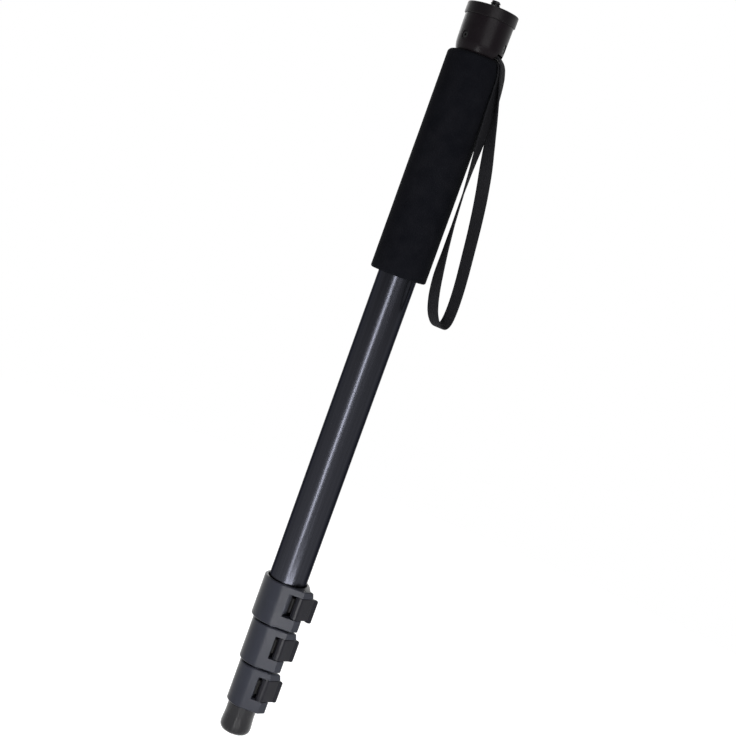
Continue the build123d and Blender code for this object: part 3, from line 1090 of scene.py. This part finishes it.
@dataclass
class FoamGrip:
    """The foam sleeve between the head and the tube. Its bore has no wall of its own."""

    shelf: FinishShelf
    sides: int = 128
    rows: int = 90
    top_round: float = 3.0 * MM
    top_steps: int = 10
    bottom_round: float = 1.4 * MM
    bottom_steps: int = 6
    bore_gap: float = 0.15 * MM
    smooth_angle: float = 50.0
    ripple: float = 0.18 * MM
    ripple_size: float = 0.022
    ripple_layers: int = 2
    ripple_middle: float = 0.6
    # The dent under the strap: half its width, its blend at each side, the line that the
    # shoulder is pressed to and the middle that it is pressed towards, both as reach from
    # the axis and height over the grip's upper end
    dent_half: float = 4.6 * MM
    dent_blend: float = 2.4 * MM
    dent: tuple[tuple[float, float], ...] = (
        (0.0100, -0.0008), (0.0140, -0.00085), (0.0154, -0.00175), (0.0163, -0.0029),
        (0.0170, -0.0046), (0.0176, -0.0066), (0.0183, -0.0105), (0.0184, -0.0126),
    )
    dent_heart: tuple[float, float] = (0.0120, -0.0125)

    def build(self) -> None:
        low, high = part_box("foam_grip")
        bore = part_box("upper_tube")[1].x + self.bore_gap
        radius = (high.x - low.x) / 2
        outline = self.profile(radius, bore, low.z, high.z)
        grip = turned(outline, "grip_sleeve", self.sides, Ends.OPEN)
        self.soften(grip)
        self.press_in(grip, high.z)
        shade(grip, self.smooth_angle)
        self.shelf.dress(grip, FOAM)
        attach(grip, "upper_section")
        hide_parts("foam_grip")
        LOG.info("grip_sleeve: %.1f mm long", (high.z - low.z) / MM)

    def profile(self, radius: float, bore: float, bottom: float, top: float) -> Profile:
        """The sleeve's section, from the bore's lower end round the outside.

        Args:
            radius: Outer radius.
            bore: Inner radius.
            bottom: Height of the lower end.
            top: Height of the upper end.

        Returns:
            Radius and height of each ring.
        """
        start, end = bottom + self.bottom_round, top - self.top_round
        low_middle = (radius - self.bottom_round, start)
        high_middle = (radius - self.top_round, end)
        wall = [(radius, start + (end - start) * row / self.rows) for row in range(1, self.rows)]
        lower = arc(low_middle, self.bottom_round, -90.0, 0.0, self.bottom_steps)
        upper = arc(high_middle, self.top_round, 0.0, 90.0, self.top_steps)
        return [(bore, bottom), *lower, *wall, *upper, (bore, top)]

    def soften(self, grip: Piece) -> None:
        """Gives the sleeve the slight unevenness of cut foam.

        Args:
            grip: The sleeve.
        """
        texture = bpy.data.textures.new("foam ripple", "CLOUDS")
        texture.noise_scale = self.ripple_size
        texture.noise_depth = self.ripple_layers
        ripple = grip.modifiers.new("ripple", "DISPLACE")
        ripple.texture = texture
        ripple.texture_coords = "LOCAL"
        ripple.strength = self.ripple
        ripple.mid_level = self.ripple_middle
        apply_modifiers(grip)

    def press_in(self, grip: Piece, top: float) -> None:
        """Presses the shoulder in where the strap lies on it.

        Args:
            grip: The sleeve.
            top: Height of its upper end.
        """
        bearing = math.radians(STRAP_ROUTE[0][3] - 90.0)
        along = Vector((math.cos(bearing), math.sin(bearing), 0.0))
        aside = Vector((-along.y, along.x, 0.0))
        heart_reach, heart_height = self.dent_heart
        for vertex in grip.data.vertices:
            place = vertex.co
            reach, across = place.dot(along), abs(place.dot(aside))
            height = place.z - top
            if reach <= heart_reach or height <= heart_height:
                continue
            out, up = reach - heart_reach, height - heart_height
            edge = (self.dent_half + self.dent_blend - across) / self.dent_blend
            near = min(max(edge, 0.0), 1.0)
            share = self.pressed_share(out, up)
            share = 1.0 - (1.0 - share) * near * near * (3.0 - 2.0 * near)
            vertex.co = place + along * (out * (share - 1.0))
            vertex.co.z += up * (share - 1.0)
        grip.data.update()

    def pressed_share(self, out: float, up: float) -> float:
        """How much of a place's distance from the dent's heart is left under the strap.

        Args:
            out: Distance outwards from the heart.
            up: Distance upwards from the heart.

        Returns:
            1 for a place inside the pressed line, less for one beyond it.
        """
        heart_reach, heart_height = self.dent_heart
        line = [(reach - heart_reach, height - heart_height) for reach, height in self.dent]
        for (near_out, near_up), (far_out, far_up) in zip(line, line[1:]):
            run_out, run_up = far_out - near_out, far_up - near_up
            facing = out * run_up - up * run_out
            if abs(facing) < PARALLEL:
                continue
            along = (near_out * up - near_up * out) / facing
            reach = (near_out * run_up - near_up * run_out) / facing
            if -SHARE_GAP <= along <= 1.0 + SHARE_GAP and reach > 0.0:
                return min(reach, 1.0)
        return 1.0


@dataclass
class CameraScrew:
    """The quarter-inch stud with its wound thread, its shoulder and its sunk head."""

    shelf: FinishShelf
    radius: float = INCH / 8
    pitch: float = INCH / 20
    chamfer: float = 0.9 * MM
    sides: int = 48
    smooth_angle: float = 30.0
    head_radius: float = 5.6 * MM
    head_height: float = 3.6 * MM
    shoulder_rise: float = 0.6 * MM
    run_out: float = 0.4 * MM
    # Shares of the radius, of the head's radius, of the pitch (two) and of the chamfer
    core_share: float = 0.80
    underside_share: float = 0.90
    crest_share: float = 0.14
    foot_share: float = 0.92
    bare_share: float = 0.75

    def build(self) -> None:
        low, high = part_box("camera_screw")
        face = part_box("camera_platform")[1].z
        parts = [self.core(low.z, face, high.z), self.ridge(face, high.z)]
        screw = joined(parts, "camera_stud")
        shade(screw, self.smooth_angle)
        self.shelf.dress(screw, BLACK_STEEL)
        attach(screw, "upper_section")
        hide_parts("camera_screw")
        LOG.info("camera_stud: thread pitch %.2f mm", self.pitch / MM)

    def core(self, bottom: float, face: float, top: float) -> Piece:
        """The screw's body under the thread.

        Args:
            bottom: Height of the sunk head's underside.
            face: Height of the platform's top.
            top: Height of the stud's end.

        Returns:
            The body.
        """
        root = self.radius * self.core_share
        shoulder = self.radius + self.shoulder_rise
        profile = [
            (self.head_radius * self.underside_share, bottom),
            (self.head_radius, bottom + self.chamfer / 4),
            (self.head_radius, bottom + self.head_height),
            (shoulder, bottom + self.head_height),
            (shoulder, face - self.run_out),
            (shoulder - self.run_out, face),
            (root, face),
            (root, top - self.chamfer / 2),
            (root - self.chamfer / 2, top),
        ]
        return turned(profile, "stud_core", self.sides, Ends.CAPPED)

    def ridge(self, face: float, top: float) -> Piece:
        """The thread's ridge, wound round the core.

        Args:
            face: Height of the platform's top.
            top: Height of the stud's end.

        Returns:
            The ridge, sunk a little into the core.
        """
        root = self.radius * self.core_share - self.run_out / 4
        foot, crest = (self.pitch * share / 2 for share in (self.foot_share, self.crest_share))
        deselect_all()
        bpy.ops.mesh.primitive_plane_add(size=1.0, location=(0, 0, 0))
        tooth = bpy.context.object
        corners = [(root, -foot), (self.radius, -crest), (self.radius, crest), (root, foot)]
        order = sorted(tooth.data.vertices,
                       key=lambda vertex: math.atan2(vertex.co.y, vertex.co.x))
        for vertex, (out, rise) in zip(order, corners):
            vertex.co = (out, 0, rise)
        turns = (top - self.chamfer * self.bare_share - face) / self.pitch
        screw = tooth.modifiers.new("thread", "SCREW")
        screw.axis = "Z"
        screw.angle = 2 * math.pi * turns
        screw.screw_offset = self.pitch * turns
        screw.steps = screw.render_steps = int(self.sides * turns)
        screw.use_merge_vertices = False
        apply_modifiers(tooth)
        tooth.data.transform(Matrix.Translation((0, 0, face + self.pitch / 4)))
        self.taper_end(tooth, root, top)
        mend_mesh(tooth)
        return settle(tooth, "stud_ridge")

    def taper_end(self, tooth: Piece, root: float, top: float) -> None:
        """Draws the ridge in where the stud's end is chamfered.

        Args:
            tooth: The ridge.
            root: The ridge's inner radius.
            top: Height of the stud's end.
        """
        start = top - self.chamfer
        for vertex in tooth.data.vertices:
            place = vertex.co
            out = math.hypot(place.x, place.y)
            limit = self.radius - max(0.0, place.z - start)
            if out > limit:
                place.x *= max(limit, root) / out
                place.y *= max(limit, root) / out


@dataclass
class PlatformPad:
    """The rubber ring on the platform, with raised rings for grip. Its hole has no wall."""

    shelf: FinishShelf
    sides: int = 96
    ribs: int = 6
    groove: float = 0.35 * MM
    edge: float = 0.3 * MM
    smooth_angle: float = 40.0
    # Where a rib's top starts and ends and the groove beside it does, as shares of the pitch
    rib_start: float = 0.15
    rib_end: float = 0.55
    groove_start: float = 0.70
    groove_end: float = 0.95

    def build(self) -> None:
        low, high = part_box("platform_pad")
        outline = self.profile(self.inner_radius(), (high.x - low.x) / 2, low.z, high.z)
        pad = turned(outline, "ribbed_pad", self.sides, Ends.OPEN)
        shade(pad, self.smooth_angle)
        self.shelf.dress(pad, PAD)
        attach(pad, "upper_section")
        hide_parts("platform_pad")
        LOG.info("ribbed_pad: %d ribs", self.ribs)

    def inner_radius(self) -> float:
        """Radius of the pad's hole, read from the frame.

        Returns:
            The smallest distance of the node's points from the axis.
        """
        node = bpy.data.objects["platform_pad"]
        return min(math.hypot(vertex.co.x, vertex.co.y) for vertex in node.data.vertices)

    def profile(self, inner: float, outer: float, bottom: float, top: float) -> Profile:
        """The pad's section with its ribs.

        Args:
            inner: Radius of the hole.
            outer: Outer radius.
            bottom: Height of its underside.
            top: Height of the ribs.

        Returns:
            Radius and height of each ring.
        """
        outline = [(inner, bottom), (outer, bottom), (outer, top - self.edge),
                   (outer - self.edge, top)]
        pitch = (outer - inner - 2 * self.edge) / self.ribs
        for rib in range(self.ribs):
            right = outer - self.edge - rib * pitch
            if rib:
                outline.append((right - pitch * self.rib_start, top))
            outline.append((right - pitch * self.rib_end, top))
            if rib < self.ribs - 1:
                outline += [(right - pitch * share, top - self.groove)
                            for share in (self.groove_start, self.groove_end)]
        outline += [(inner + self.edge, top), (inner, top - self.edge)]
        return outline


@dataclass
class RigidNodes:
    """The nodes that stay as the frame has them and only get their finish."""

    shelf: FinishShelf

    def finish_of(self, name: str) -> Finish:
        """Looks up a node's finish.

        Args:
            name: The node's name.

        Returns:
            Its finish.
        """
        stem, _, number = name.rpartition("_")
        return NUMBERED_FINISHES[stem] if number.isdigit() else NODE_FINISHES[name]

    def build(self, nodes: dict[str, Piece]) -> None:
        """Dresses every node.

        Args:
            nodes: The frame's nodes by name.
        """
        for name in sorted(nodes):
            finish = self.finish_of(name)
            self.shelf.dress(nodes[name], finish)
            LOG.info("%s: %s", name, finish.name)


def corners() -> list[list[float]]:
    """The shown object's lowest and highest corner as plain lists."""
    return [list(corner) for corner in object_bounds()]


def main() -> None:
    """Loads the frame and builds the parts in order."""
    logging.basicConfig(level=logging.INFO, format="%(name)s: %(message)s")
    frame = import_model()
    bpy.context.scene.view_settings.view_transform = "Standard"
    shelf = FinishShelf()
    Studio().build()
    WristStrap(shelf).build()
    FoamGrip(shelf).build()
    CameraScrew(shelf).build()
    PlatformPad(shelf).build()
    RigidNodes(shelf).build(frame["nodes"])
    deselect_all()


if __name__ == "__main__":
    main()
